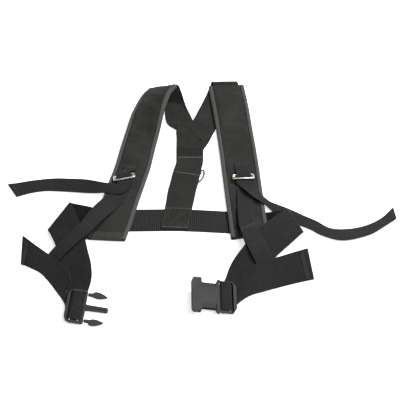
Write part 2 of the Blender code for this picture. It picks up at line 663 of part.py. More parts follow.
def build_female():
    """The half with the mouth: a shell open at one end and both sides, finger scoops, and a webbing frame."""
    edge = BUCKLE_HALF - 0.5
    shell = [(-11, edge - 1), (-15, edge - 1), (-18, 24.5), (-40, 24.5), (-43, edge), (-55, edge), (-58, 28)]
    shell += [(x, -y) for x, y in reversed(shell)]
    body = plate("buckle_female", female_at, shell, -5.6, 5.6, PLASTIC)
    frame = [(12, edge - 1.5), (17.5, 21), (17.5, -21), (12, -edge + 1.5), (-13.5, -edge + 1.5), (-13.5, edge - 1.5)]
    opening = rounded(-12, -SLOT_HALF, 12, SLOT_HALF, 1.0, 1)
    combine(body, plate("female_frame", female_at, frame, -2.5, 3.4, group=CUTTERS), "UNION")
    combine(body, plate("female_opening", female_at, opening, -9, 9, group=CUTTERS), "DIFFERENCE")
    combine(body, prism("female_web_bar", female_at, WEB_BAR, -SLOT_HALF - 1.2, SLOT_HALF + 1.2, group=CUTTERS), "UNION")
    for sign in (-1, 1):
        scoop = [(13.5 * sign, 5.7), (13.5 * sign, 9), (40 * sign, 9), (40 * sign, 1.5), (24.4 * sign, 1.5)]
        combine(body, prism(f"female_scoop_{sign}", female_at, scoop, -42, -17.5, group=CUTTERS, lengthwise=True),
                "DIFFERENCE")
    # The mouth, the deep middle for the guide, and two low channels where the prong heads spring out at the sides.
    combine(body, box("female_mouth", female_at, (-70, -26.3, -4.2), (-44.5, 26.3, 3.3), group=CUTTERS), "DIFFERENCE")
    combine(body, box("female_deep", female_at, (-46, -12.4, -3.9), (-17, 12.4, 3.1), group=CUTTERS), "DIFFERENCE")
    combine(body, box("female_sides", female_at, (-46.5, -40, -4.1), (-19, 40, 0.2), group=CUTTERS), "DIFFERENCE")


build_pad("left", LEFT_PAD, 22)
build_pad("right", RIGHT_PAD, 30)
ribbon("back_belt", BACK_BELT, WEBBING, step=40)
build_side_belts()
build_adjusters()
build_keepers()
build_slides()
build_back()
build_male()
build_female()
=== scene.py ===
"""Looks of the padded shoulder-and-waist harness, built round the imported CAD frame.

Lengths are in millimetres, from an origin under the middle of the back belt. Webbing and pads are
given as rows across them, each the six coordinates of its two edge points. A place on a strap or a
pad is given in millimetres across (u) and along (t).
"""

import math

import bmesh
import bpy
import numpy as np
from mathutils import Matrix, Vector, noise


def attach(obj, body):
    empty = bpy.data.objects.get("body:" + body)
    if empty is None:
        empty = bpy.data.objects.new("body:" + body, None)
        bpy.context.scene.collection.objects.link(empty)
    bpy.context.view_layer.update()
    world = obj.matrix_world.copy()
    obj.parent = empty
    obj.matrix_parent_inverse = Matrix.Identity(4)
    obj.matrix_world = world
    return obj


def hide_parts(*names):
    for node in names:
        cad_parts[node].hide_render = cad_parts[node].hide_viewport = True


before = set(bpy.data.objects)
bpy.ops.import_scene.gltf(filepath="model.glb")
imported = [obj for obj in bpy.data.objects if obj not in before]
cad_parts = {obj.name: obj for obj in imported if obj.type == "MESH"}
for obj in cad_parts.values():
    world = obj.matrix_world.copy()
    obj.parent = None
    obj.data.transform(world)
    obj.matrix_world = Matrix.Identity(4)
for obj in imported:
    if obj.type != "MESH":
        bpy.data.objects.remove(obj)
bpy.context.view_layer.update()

MM = 0.001
UV_SCALE = 0.01          # UV units per millimetre
ROW_STEP = 2.5           # between the rows of a strap or a pad
PAIR_LENGTH = 1.414      # how much longer a step of both edges is than a step of one

CAMERA_PLACE = (0.03980, -1.13650, 1.48690)
CAMERA_PITCH = 38.5
CAMERA_LENS = 95.22
LIGHTS_AIM = (0, 0.05, 0)
WORLD_LIGHT = 0.30
FLOOR_GLOW = 0.62

WEB_THICK = 1.8
SIDE_BELT_WIDTH = 54.0
NARROW_WIDTH = 28.5
KEEPER_WIDTH = 25.0
FOLD_AT = (103.0, 86.0)  # how far along the left and the right side belt its first fold is
STRAP_COLUMNS = 14
SELVEDGE = 1.1           # how far in from its edge a strap reaches its whole thickness
HEM_MORE = 1.5           # how many times its thickness a hemmed strap gains
HEM_STEP = 1.2           # the length over which it does
STITCH_SIDES = 6
STITCH_WOBBLE = 0.12
STITCH_FROM, STITCH_TO = 0.14, 0.86  # the share of each pitch that a pad's stitch covers

PAD_INSET = 3.4          # from a pad's edge to where its cloth starts
PAD_HALF = 2.7           # from a pad's middle to its cloth, at its edges
PAD_COLUMNS = 34
FOLDED_CLOTH = 0.8       # thickness of the binding tapes and the hems
HEM_INSET = 7.6
HEM_COLUMNS = 36
HEM_SEAM_INSET = 9.0
# A dark thread line is drawn along this ditch as its painted shade.
DITCH_AT = 7.3           # from a pad's edge to the ditch beside its binding tape
# Each tape's section: how far in from the pad's edge, and how high.
TAPE_SECTION = [(6.3, 3.0), (5.8, 3.5), (4.6, 3.75), (2.9, 3.6), (1.6, 3.05), (0.7, 2.1),
                (0.3, 0.9), (0.3, -0.9), (0.7, -2.3), (1.8, -3.3), (3.6, -3.7), (5.5, -3.75),
                (7.5, -3.6)]
# Each hem's section: how far in from the pad's lower end, and how high.
HEM_SECTION = [(13.2, 3.4), (12.6, 3.9), (11.0, 3.85), (9.6, 3.6), (7.0, 3.8), (4.4, 3.6),
               (2.6, 3.75), (0.8, 3.3), (-0.6, 2.3), (-1.3, 0.9), (-1.3, -1.0), (-0.4, -2.8),
               (1.8, -3.7), (7.0, -3.9), (12.5, -3.8)]

SLIDE_WIDTH = 39.5
SLIDE_DEPTH = 14.0
SLIDE_WIRE = 1.55        # radius
FLOAT_AT = 5.6           # from the slide's outer bar to its loose bar
GRIP_WIRE = 1.5          # radius of the loose bar
TINE_WIRE = 0.75         # radius of the bar's forked ends
RING_WIDTH = 59.0
RING_WIRE = 4.0          # the CAD ring's thickness
RING_LOOK = 1.7          # radius of the ring that is seen


# ---------------------------------------------------------------- camera and light

def build_camera():
    data = bpy.data.cameras.new("camera")
    data.sensor_width = 36
    data.lens = CAMERA_LENS
    data.clip_end = 20
    camera = bpy.data.objects.new("camera", data)
    camera.matrix_world = pose(CAMERA_PLACE, pitch=CAMERA_PITCH)
    bpy.context.scene.collection.objects.link(camera)
    bpy.context.scene.camera = camera


def area_light(name, place, size, power, colour):
    data = bpy.data.lights.new(name, "AREA")
    data.shape = "DISK"
    data.size = size
    data.energy = power
    data.color = colour
    lamp = bpy.data.objects.new(name, data)
    lamp.location = place
    aim = Vector(LIGHTS_AIM) - Vector(place)
    lamp.rotation_euler = aim.to_track_quat("-Z", "Y").to_euler()
    bpy.context.scene.collection.objects.link(lamp)


def build_studio():
    scene = bpy.context.scene
    scene.view_settings.view_transform = "Standard"
    scene.view_settings.look = "None"
    world = bpy.data.worlds.new("studio")
    world.use_nodes = True
    world.node_tree.nodes["Background"].inputs["Color"].default_value = (1, 1, 1, 1)
    world.node_tree.nodes["Background"].inputs["Strength"].default_value = WORLD_LIGHT
    scene.world = world
    area_light("key", (0.75, 0.75, 1.7), 0.5, 38, (1.0, 0.985, 0.96))
    area_light("fill", (0.75, -0.75, 1.7), 0.9, 25, (0.95, 0.975, 1.0))
    mesh = bpy.data.meshes.new("floor")
    mesh.from_pydata([(-4, -4, 0), (4, -4, 0), (4, 4, 0), (-4, 4, 0)], [], [(0, 1, 2, 3)])
    floor = bpy.data.objects.new("floor", mesh)
    n = Nodes("floor")
    n.shader.inputs["Emission Color"].default_value = (1, 1, 1, 1)
    n.shader.inputs["Emission Strength"].default_value = FLOOR_GLOW
    mesh.materials.append(n.set(colour=(0.93, 0.93, 0.93), rough=0.9, specular=0.1))
    scene.collection.objects.link(floor)


# ---------------------------------------------------------------- materials

class Nodes:
    """Short ways to add and join the nodes of one material."""

    def __init__(self, name):
        self.paint = bpy.data.materials.new(name)
        self.paint.use_nodes = True
        self.tree = self.paint.node_tree
        self.shader = self.tree.nodes["Principled BSDF"]

    def add(self, kind, values=(), **settings):
        node = self.tree.nodes.new("ShaderNode" + kind)
        for key, value in settings.items():
            setattr(node, key, value)
        for key, value in dict(values).items():
            if hasattr(value, "is_output"):
                self.tree.links.new(value, node.inputs[key])
            else:
                node.inputs[key].default_value = value
        return node

    def maths(self, operation, a, b=0.0):
        return self.add("Math", {0: a, 1: b}, operation=operation).outputs[0]

    def times_plus(self, a, by, more):
        return self.maths("ADD", self.maths("MULTIPLY", a, by), more)

    def sine(self, value, turn):
        return self.maths("SINE", self.maths("MULTIPLY", value, turn))

    def local(self):
        return self.add("TexCoord").outputs["Object"]

    def noise(self, vector, scale, detail=3.0, rough=0.55):
        values = {"Vector": vector, "Scale": scale, "Detail": detail, "Roughness": rough}
        return self.add("TexNoise", values).outputs["Fac"]

    def blend(self, factor, low, high):
        """A colour that goes from low to high with the factor."""
        ramp = self.add("ValToRGB", {"Fac": factor})
        for stop, place, colour in zip(ramp.color_ramp.elements, (0.25, 0.75), (low, high)):
            stop.position = place
            stop.color = (*colour, 1)
        return ramp.outputs["Color"]

    def bump(self, height, strength, distance, after=None):
        values = {"Height": height, "Strength": strength, "Distance": distance}
        if after is not None:
            values["Normal"] = after
        return self.add("Bump", values).outputs["Normal"]

    def set(self, **values):
        names = {"colour": "Base Color", "rough": "Roughness", "metal": "Metallic",
                 "normal": "Normal", "sheen": "Sheen Weight", "sheen_rough": "Sheen Roughness",
                 "specular": "Specular IOR Level"}
        for key, value in values.items():
            socket = self.shader.inputs[names[key]]
            if hasattr(value, "is_output"):
                self.tree.links.new(value, socket)
            elif key == "colour":
                socket.default_value = (*value, 1)
            else:
                socket.default_value = value
        return self.paint


def shade(colour, by):
    return tuple(min(1.0, c * by) for c in colour)


def woven(name, colour, weave, pitch, depth=0.25, mottle=0.2, grain=0.15, relief=1.0,
          shade_to=None):
    """Cloth or webbing. weave is ribs (across the length), plain or herringbone, and its pitch and
    depth are in millimetres. mottle and grain say how much large patches and small specks differ in
    tone. shade_to gives the length, along the left and the right strap, of a stretch darkened as
    painted shade."""
    n = Nodes(name)
    uv, local = n.add("UVMap", uv_map="UVMap").outputs["UV"], n.local()
    split = n.add("SeparateXYZ", {0: uv})
    u, v = split.outputs[0], split.outputs[1]
    turn = 2 * math.pi / (pitch * UV_SCALE)
    if weave == "ribs":
        cross = n.sine(u, turn * 0.7)
        cloth = n.times_plus(n.sine(v, turn), 0.38, n.maths("MULTIPLY", cross, 0.1))
    elif weave == "plain":
        cloth = n.maths("MULTIPLY", n.maths("MULTIPLY", n.sine(v, turn), n.sine(u, turn)), 0.4)
    else:
        side = n.maths("PINGPONG", u, 4.5 * UV_SCALE)
        slope = n.maths("ADD", side, n.maths("MULTIPLY", v, 0.8))
        rows = n.sine(u, turn * 1.6)
        cloth = n.times_plus(n.sine(slope, turn), 0.32, n.maths("MULTIPLY", rows, 0.12))
    cloth = n.times_plus(cloth, relief, 0.5)
    wear = n.noise(local, 22.0, 4.0)
    speck = n.noise(local, 330.0, 2.0)
    patch = n.times_plus(n.maths("SUBTRACT", wear, 0.5), 2.2 * mottle, cloth)
    patch = n.times_plus(n.maths("SUBTRACT", speck, 0.5), 2.5 * grain, patch)
    darkest = 0.55
    if shade_to is not None:
        # A darker tone on the stretch up to the first fold stands in for the shade inside it.
        left, right = shade_to
        west = n.maths("LESS_THAN", n.add("SeparateXYZ", {0: local}).outputs[0], 0.0)
        fold = n.times_plus(west, (left - right) * UV_SCALE, right * UV_SCALE)
        in_painted_shade = n.maths("LESS_THAN", v, fold)
        patch = n.maths("SUBTRACT", patch, n.maths("MULTIPLY", in_painted_shade, 0.75))
        darkest = 0.3
    lumps = n.bump(n.noise(local, 60.0, 3.0), 0.25, 0.0012)
    fuzz = n.bump(n.noise(local, 900.0, 2.0), 0.35, 0.0003, lumps)
    return n.set(colour=n.blend(patch, shade(colour, darkest), shade(colour, 1.45)),
                 rough=n.times_plus(wear, 0.2, 0.75), normal=n.bump(cloth, 0.9, depth * MM, fuzz),
                 sheen=0.06, sheen_rough=0.45, specular=0.15)


def moulded(name, colour, rough):
    """Moulded plastic with a fine spark-eroded grain, faint scuffs and paler rubbed patches."""
    n = Nodes(name)
    local = n.local()
    wear = n.noise(local, 45.0, 5.0, 0.65)
    grain = n.noise(local, 2600.0, 2.0)
    normal = n.bump(grain, 0.12, 0.0002, n.bump(wear, 0.08, 0.0008))
    return n.set(colour=n.blend(wear, shade(colour, 0.88), shade(colour, 1.14)),
                 rough=n.times_plus(wear, 0.25, rough - 0.12), normal=normal, specular=0.2)


def metal(name, colour, rough, scuff=0.2):
    """Plated wire: bright, with faint scratches and rubbed spots."""
    n = Nodes(name)
    local = n.local()
    wear = n.noise(local, 160.0, 5.0, 0.7)
    drawn = n.add("Mapping", {"Vector": local, "Scale": (900.0, 60.0, 400.0)}).outputs[0]
    scratch = n.noise(drawn, 1.0, 3.0)
    return n.set(colour=n.blend(wear, shade(colour, 0.86), shade(colour, 1.06)),
                 rough=n.times_plus(wear, scuff, rough), metal=1.0,
                 normal=n.bump(scratch, 0.1, 0.0001))


def thread(name, colour, sheen=0.2, specular=0.5):
    """Sewing thread, with its twist as a fine bump."""
    n = Nodes(name)
    twist = n.noise(n.local(), 1800.0, 2.0)
    return n.set(colour=n.blend(twist, shade(colour, 0.75), shade(colour, 1.2)), rough=0.75,
                 sheen=sheen, specular=specular, normal=n.bump(twist, 0.4, 0.0002))


BELT_WEB = woven("belt_webbing", (0.0150, 0.0156, 0.0164), "herringbone", 2.6, 0.4, grain=0.3,
                 relief=0.8, shade_to=FOLD_AT)
BACK_WEB = woven("back_webbing", (0.0175, 0.0175, 0.0180), "ribs", 3.5, 0.55, grain=0.3)
REAR_WEB = woven("rear_webbing", (0.0180, 0.0180, 0.0165), "plain", 1.5, mottle=0.45, grain=0.45)
NARROW_WEB = woven("narrow_webbing", (0.0165, 0.0168, 0.0172), "herringbone", 2.4, 0.35, grain=0.25,
                   relief=0.85)
PAD_CLOTH = woven("pad_cloth", (0.0205, 0.0204, 0.0188), "plain", 1.2, 0.14, mottle=0.55,
                  grain=0.25)
HEM_CLOTH = woven("hem_cloth", (0.034, 0.034, 0.033), "plain", 1.5, 0.2)
TAPE = woven("binding_tape", (0.062, 0.062, 0.060), "ribs", 1.5, 0.22)
PLASTIC = moulded("buckle_plastic", (0.021, 0.021, 0.0215), 0.55)
STEEL = metal("plated_steel", (0.86, 0.84, 0.82), 0.16)
RING_STEEL = metal("ring_steel", (0.16, 0.155, 0.15), 0.42, 0.3)
BRASS = metal("brass_bar", (0.83, 0.66, 0.40), 0.22)
PALE_THREAD = thread("pale_thread", (0.22, 0.22, 0.21))
# The yoke panel's rolled edge: brown of its own, made darker as painted shadow along the edge.
EDGE_ROLL_AND_SHADOW = thread("edge_roll_and_shadow", (0.023, 0.0125, 0.009), 0.0, 0.15)
# Dark thread for seams, also drawn as lines of painted shade along the pads' ditches and the hems'
# edges.
DARK_THREAD_AND_SHADE = thread("dark_thread_and_shade", (0.005, 0.005, 0.005), 0.0, 0.05)
GREY_THREAD = thread("grey_thread", (0.085, 0.084, 0.080))
BROWN_THREAD = thread("brown_thread", (0.045, 0.038, 0.024))


# ---------------------------------------------------------------- shapes

def pose(centre, heading=0.0, pitch=0.0, roll=0.0):
    """A piece's own axes: its centre, and how it is turned, in degrees."""
    axes = Matrix.Translation(centre)
    for angle, axis in ((heading, "Z"), (roll, "Y"), (pitch, "X")):
        axes = axes @ Matrix.Rotation(math.radians(angle), 4, axis)
    return axes


def in_world(at, points):
    return [tuple(at @ Vector(p)) for p in points]


def link(obj, paint, body, replaced=()):
    bpy.context.scene.collection.objects.link(obj)
    obj.data.materials.append(paint)
    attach(obj, body)
    if replaced:
        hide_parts(*replaced)
    return obj


def mesh_object(name, points, faces, uvs=None):
    """A smooth object from points in millimetres. uvs holds a pair for each, in millimetres."""
    mesh = bpy.data.meshes.new(name)
    mesh.from_pydata([tuple(c * MM for c in p) for p in points], [], faces)
    if uvs is not None:
        layer = mesh.uv_layers.new(name="UVMap")
        index = np.empty(len(mesh.loops), np.int32)
        mesh.loops.foreach_get("vertex_index", index)
        layer.data.foreach_set("uv", (np.array(uvs, float) * UV_SCALE)[index].ravel())
    mesh.polygons.foreach_set("use_smooth", [True] * len(mesh.polygons))
    mesh.update()
    return bpy.data.objects.new(name, mesh)


def tube_faces(rings, size, closed=False, caps=True):
    """The faces of a tube of rings of size points each. A closed tube ends where it starts."""
    faces = []
    for r in range(rings if closed else rings - 1):
        low, high = r * size, (r + 1) % rings * size
        for i in range(size):
            j = (i + 1) % size
            faces.append((low + i, low + j, high + j, high + i))
    if caps and not closed:
        faces.append(tuple(range(size))[::-1])
        faces.append(tuple(range((rings - 1) * size, rings * size)))
    return faces


def unit(v):
    return v / np.maximum(np.linalg.norm(v, axis=-1, keepdims=True), 1e-9)


def waver(x, y, seed):
    """Smooth noise from about -1 to 1."""
    return noise.noise(Vector((x, y, seed * 7.31 + 0.5)))


def smooth_step(low, high, x):
    x = min(1.0, max(0.0, (x - low) / (high - low)))
    return x * x * (3 - 2 * x)


def distance_along(points):
    return np.concatenate([[0], np.cumsum(np.linalg.norm(np.diff(points, axis=0), axis=1))])


def smooth_rows(rows):
    """Pairs of edge points, ROW_STEP apart, on a centripetal Catmull-Rom curve through the rows."""
    knots = [np.array(row, float).reshape(6) for row in rows]
    knots = [2 * knots[0] - knots[1], *knots, 2 * knots[-1] - knots[-2]]
    made = []
    for p0, p1, p2, p3 in zip(knots, knots[1:], knots[2:], knots[3:]):
        gaps = [max(np.linalg.norm(b - a), 1e-6) ** 0.5 for a, b in ((p0, p1), (p1, p2), (p2, p3))]
        t0, t1 = 0.0, gaps[0]
        t2, t3 = t1 + gaps[1], t1 + gaps[1] + gaps[2]
        count = max(1, round(np.linalg.norm(p2 - p1) / PAIR_LENGTH / ROW_STEP))
        for k in range(count):
            t = t1 + (t2 - t1) * k / count
            a1 = (p0 * (t1 - t) + p1 * (t - t0)) / (t1 - t0)
            a2 = (p1 * (t2 - t) + p2 * (t - t1)) / (t2 - t1)
            a3 = (p2 * (t3 - t) + p3 * (t - t2)) / (t3 - t2)
            b1 = (a1 * (t2 - t) + a2 * (t - t0)) / (t2 - t0)
            b2 = (a2 * (t3 - t) + a3 * (t - t1)) / (t3 - t1)
            made.append((b1 * (t2 - t) + b2 * (t - t1)) / (t2 - t1))
    made.append(knots[-2])
    return [(row[:3], row[3:]) for row in made]


def turn_back(low, high, out):
    """The rows of a half turn from one layer of webbing to the other, swelling along out."""
    low, high = (np.array(row, float).reshape(2, 3) for row in (low, high))
    middle = (low + high) / 2
    swell = unit(np.array(out, float)) * np.linalg.norm(high - low, axis=1).mean() / 2
    return [middle + (low - middle) * math.cos(angle) + swell * math.sin(angle)
            for angle in (math.pi / 4, math.pi / 2, math.pi * 3 / 4)]


def row_frames(rows):
    """For each row: its edges, and unit vectors across it and out of its upper face."""
    made = []
    for i, (a, b) in enumerate(rows):
        before = rows[max(i - 1, 0)]
        after = rows[min(i + 1, len(rows) - 1)]
        along = (after[0] + after[1]) - (before[0] + before[1])
        across = unit(b - a)
        normal = unit(np.cross(across, along))
        made.append((a, b, across, normal if normal[2] > 0 else -normal))
    return made


def between_rows(frames, row):
    """The edges and vectors of row_frames at a row number that needn't be whole."""
    r = int(row)
    return [low * (1 - row + r) + high * (row - r) for low, high in zip(frames[r], frames[r + 1])]


class Strip:
    """The middle surface of a strap, as a grid of points with normals: rows at t, columns at u."""

    def __init__(self, rows, wave, seed):
        pairs = smooth_rows(rows)
        low = np.array([a for a, b in pairs])
        high = np.array([b for a, b in pairs])
        self.width = float(np.median(np.linalg.norm(high - low, axis=1)))
        self.t = distance_along((low + high) / 2)
        self.length = float(self.t[-1])
        # The columns crowd at the edges, which are rounded.
        inner = np.linspace(1.6, self.width - 1.6, STRAP_COLUMNS)
        self.u = np.concatenate([[0, 0.5], inner, [self.width - 0.5, self.width]])
        s = (self.u / self.width)[None, :, None]
        grid = low[:, None, :] * (1 - s) + high[:, None, :] * s
        along = unit(np.gradient(grid, axis=0))
        side = unit(np.gradient(grid, axis=1))
        self.normal = unit(np.cross(side, along))
        push = np.array([[wave * waver(t * 0.035, u * 0.04, seed) for u in self.u] for t in self.t])
        self.grid = grid + self.normal * push[..., None]
        self.grid[..., 2] = np.maximum(self.grid[..., 2], WEB_THICK / 2 - 0.1)

    def at(self, u, t, lift=0.0):
        """The point u across and t along, raised by lift, and the normal there."""
        row = np.clip(np.interp(t, self.t, np.arange(len(self.t))), 0, len(self.t) - 1.001)
        col = np.clip(np.interp(u, self.u, np.arange(len(self.u))), 0, len(self.u) - 1.001)
        r, c = int(row), int(col)
        fr, fc = row - r, col - c

        def mix(a):
            return (a[r, c] * (1 - fr) * (1 - fc) + a[r + 1, c] * fr * (1 - fc)
                    + a[r, c + 1] * (1 - fr) * fc + a[r + 1, c + 1] * fr * fc)
        normal = unit(mix(self.normal))
        return mix(self.grid) + normal * lift, normal

    def across(self, inset, t):
        """A path straight across the strap at t."""
        return [(inset, t), (self.width - inset, t)]


def strap_mesh(name, strip, swell=None):
    """A closed strap with rounded selvedges. swell gives how much thicker each face is at t."""
    cols = len(strip.u)
    size = 2 * cols - 2
    edge = np.clip(np.minimum(strip.u, strip.width - strip.u) / SELVEDGE, 0, 1)
    half = WEB_THICK / 2 * np.sqrt(np.clip(1 - (1 - edge) ** 2, 0, 1))
    points, uvs = [], []
    for r, t in enumerate(strip.t):
        more_up, more_down = swell(t, strip.length) if swell else (0.0, 0.0)
        out = strip.normal[r] * half[:, None]
        points += list(strip.grid[r] + out * (1 + more_up))
        points += list(strip.grid[r] - out * (1 + more_down))[cols - 2:0:-1]
        uvs += [(u, t) for u in [*strip.u, *strip.u[cols - 2:0:-1]]]
    faces = tube_faces(len(strip.t), size, caps=False)
    for start, way in ((0, -1), ((len(strip.t) - 1) * size, 1)):
        ends = [(c, c + 1, size - c - 1, size - c) for c in range(1, cols - 2)]
        ends += [(0, 1, size - 1), (cols - 2, cols - 1, cols)]
        faces += [tuple(start + k for k in face)[::way] for face in ends]
    made = mesh_object(name, points, faces, uvs)
    shape = bmesh.new()
    shape.from_mesh(made.data)
    if shape.calc_volume(signed=True) < 0:
        bmesh.ops.reverse_faces(shape, faces=shape.faces)
        shape.to_mesh(made.data)
    shape.free()
    return made


def looks_up(normal):
    """Whether this side of a strap looks up and to the south."""
    return float(normal @ np.array([0, -0.5, 0.85])) > 0


class Stitches:
    """Collects the stitches of one thread into one mesh on the harness."""

    def __init__(self, name, paint):
        self.name, self.paint = name, paint
        self.points, self.faces = [], []

    def stitch(self, a, b, normal, wide, high):
        """One stitch: a short thread that dives into the cloth at both ends."""
        along = b - a
        side = unit(np.cross(normal, along))
        start = len(self.points)
        self.points.append(a - normal * high * 0.6)
        for place, bulge in ((0.18, 0.8), (0.5, 1.0), (0.82, 0.8)):
            for k in range(STITCH_SIDES):
                angle = 2 * math.pi * k / STITCH_SIDES
                ring = side * math.cos(angle) * wide / 2 + normal * math.sin(angle) * high
                self.points.append(a + along * place + ring * bulge)
        self.points.append(b - normal * high * 0.6)
        first, second, third = (start + 1 + k * STITCH_SIDES for k in range(3))
        for i in range(STITCH_SIDES):
            j = (i + 1) % STITCH_SIDES
            self.faces.append((start, first + j, first + i))
            for near, far in ((first, second), (second, third)):
                self.faces.append((near + i, near + j, far + j, far + i))
            self.faces.append((len(self.points) - 1, third + i, third + j))

    def row(self, count, place, wide, high):
        """Stitches in a row. place(f) gives the point and the normal at the fraction f of it."""
        for k in range(count):
            a, _ = place((k + STITCH_FROM) / count)
            b, normal = place((k + STITCH_TO) / count)
            self.stitch(a, b, normal, wide, high)

    def line(self, surface, path, lift, pitch=3.4, fill=0.72, wide=0.75, high=0.4):
        """Stitches from one (u, t) to another, on the side of the surface that looks up."""
        (u0, t0), (u1, t1) = path
        side = 1 if looks_up(surface.at((u0 + u1) / 2, (t0 + t1) / 2)[1]) else -1
        run = math.hypot(u1 - u0, t1 - t0)
        count = max(1, round(run / pitch))
        for k in range(count):
            wobble = STITCH_WOBBLE * waver(k * 3.7, t0 + u0, 5)
            ends = []
            for f in ((k + 0.5 - fill / 2) / count, (k + 0.5 + fill / 2) / count):
                u = u0 + (u1 - u0) * f + wobble * (t1 - t0) / run
                t = t0 + (t1 - t0) * f - wobble * (u1 - u0) / run
                ends.append(surface.at(u, t, lift * side))
            (a, normal_a), (b, normal_b) = ends
            self.stitch(a, b, unit((normal_a + normal_b) * side), wide, high)

    def build(self):
        link(mesh_object(self.name, self.points, self.faces), self.paint, "harness")


STRIPS = {}
LOOKS = {
    # name: material, slot, how it is held, what it rests on
    "side_belt_left": (BELT_WEB, "belt_webbing", "folded", ["buckle_male_frame"]),
    "side_belt_right": (BELT_WEB, "belt_webbing", "folded", ["buckle_female"]),
    "back_belt": (BACK_WEB, "back_webbing", "laid", []),
    "left_adjuster_strap": (NARROW_WEB, "narrow_webbing", "folded", []),
    "right_adjuster_strap": (NARROW_WEB, "narrow_webbing", "folded", []),
    "left_slide_keeper": (NARROW_WEB, "narrow_webbing", "folded", []),
    "right_slide_keeper": (NARROW_WEB, "narrow_webbing", "folded", []),
    "left_rear_strap": (REAR_WEB, "back_webbing", "folded", []),
    "right_rear_strap": (REAR_WEB, "back_webbing", "folded", []),
    "yoke_panel": (REAR_WEB, "back_webbing", "laid", []),
    "back_strap": (REAR_WEB, "back_webbing", "laid", []),
}
# How much a strap waves, and the length of the hem at the end of those that have one.
WAVE = {"yoke_panel": 0.2, "back_strap": 0.2, "left_slide_keeper": 0.05, "right_slide_keeper": 0.05}
HEMS = {"side_belt_left": 11, "side_belt_right": 15, "left_adjuster_strap": 8,
        "right_adjuster_strap": 8}


def hem_swell(hem, upward):
    """Thickness that steps up where a strap's end is folded back on itself, on one side of it."""
    def swell(t, length):
        more = HEM_MORE * min(1.0, max(0.0, (hem - (length - t)) / HEM_STEP))
        return (more, more * 0.15) if upward else (more * 0.15, more)
    return swell


def ribbon(name, rows):
    paint, slot, held, rests = LOOKS[name]
    strip = Strip(rows, wave=WAVE.get(name, 0.3), seed=len(STRIPS) + 1)
    STRIPS[name] = strip
    swell = None
    if name in HEMS:
        swell = hem_swell(HEMS[name], looks_up(strip.normal[-3, len(strip.u) // 2]))
    obj = strap_mesh(name + "_webbing", strip, swell)
    link(obj, paint, "harness", [name])


# ---------------------------------------------------------------- pads

class PadSurface:
    """The face of a pad, addressed in millimetres across and along, for its cloth and stitches."""

    def __init__(self, frames, seed):
        self.frames, self.seed = frames, seed
        self.t = distance_along([(a + b) / 2 for a, b, _, _ in frames])
        self.length = float(self.t[-1])

    def height(self, u, along, width):
        """The height of the cloth above the pad's middle."""
        rise = smooth_step(4.5, 12, min(u, width - u))
        crown = 1.3 * (1 - (2 * u / width - 1) ** 2)
        near_end = smooth_step(0, 26, along)
        slant = along + 0.35 * u
        pleat = (2.4 * waver(slant * 0.05, u * 0.014, self.seed)
                 + 1.3 * waver(slant * 0.12, u * 0.03, self.seed + 3))
        wrinkle = min(pleat + 0.9 * waver(along * 0.03, u * 0.05, self.seed + 6), 1.1)
        return PAD_HALF + rise * (0.75 + crown * near_end + wrinkle * (0.35 + 0.65 * near_end))

    def at(self, u, t, lift=0.0):
        """The point at u, t, and the normal there. A negative u is from the other edge."""
        row = float(np.interp(t, self.t, np.arange(len(self.t))))
        a, b, across, normal = between_rows(self.frames, min(row, len(self.t) - 1.001))
        across, normal = unit(across), unit(normal)
        width = float(np.linalg.norm(b - a))
        place = a + across * u if u >= 0 else b + across * u
        u = u if u >= 0 else width + u
        return place + normal * (self.height(u, t, width) + lift), normal


def build_pad_body(side, frames, surface, seed):
    """The pad's face, foam and lining, as one soft body."""
    points, uvs = [], []
    for i, ((a, b, _, normal), t) in enumerate(zip(frames, surface.t)):
        width = float(np.linalg.norm(b - a))
        places = [PAD_INSET + (width - 2 * PAD_INSET) * c / PAD_COLUMNS
                  for c in range(PAD_COLUMNS + 1)]
        # The first row is set in a little from the pad's end.
        points += [surface.at(u, t if i else surface.t[1] * 0.1)[0] for u in places]
        uvs += [(u, t) for u in places]
        for u in places[::-3]:
            under = (PAD_HALF + 0.25 * smooth_step(6.5, 15, min(u, width - u))
                     + 0.15 * waver(t * 0.06, u * 0.04, seed + 9))
            base = a + (b - a) * u / width
            if i == 0:
                base = base + (frames[1][0] - a) * 0.1
            points.append(base - normal * under)
            uvs.append((u, t))
    size = len(points) // len(frames)
    body = mesh_object(side + "_pad_body", points, tube_faces(len(frames), size), uvs)
    shape = bmesh.new()
    shape.from_mesh(body.data)
    bmesh.ops.recalc_face_normals(shape, faces=shape.faces)
    shape.to_mesh(body.data)
    shape.free()
    replaced = [f"{side}_pad_{part}" for part in ("face", "foam", "lining")]
    link(body, PAD_CLOTH, "harness", replaced)
    return body


def folded_cloth(name, grid, uvs, offset, paint, replaced):
    """Thin cloth on a grid of points, thickened to the side that offset says."""
    rows, cols = len(grid), len(grid[0])
    faces = [(r * cols + c, r * cols + c + 1, (r + 1) * cols + c + 1, (r + 1) * cols + c)
             for r in range(rows - 1) for c in range(cols - 1)]
    obj = mesh_object(name, sum(grid, []), faces, sum(uvs, []))
    solid = obj.modifiers.new("thickness", "SOLIDIFY")
    solid.thickness = FOLDED_CLOTH * MM
    solid.offset = offset
    solid.use_quality_normals = True
    return link(obj, paint, "harness", replaced)


def pad_edge(row, low_side):
    """One edge of a row of row_frames, and unit vectors into the pad and out of its face."""
    a, b, across, normal = row
    return (a, across, normal) if low_side else (b, -across, normal)


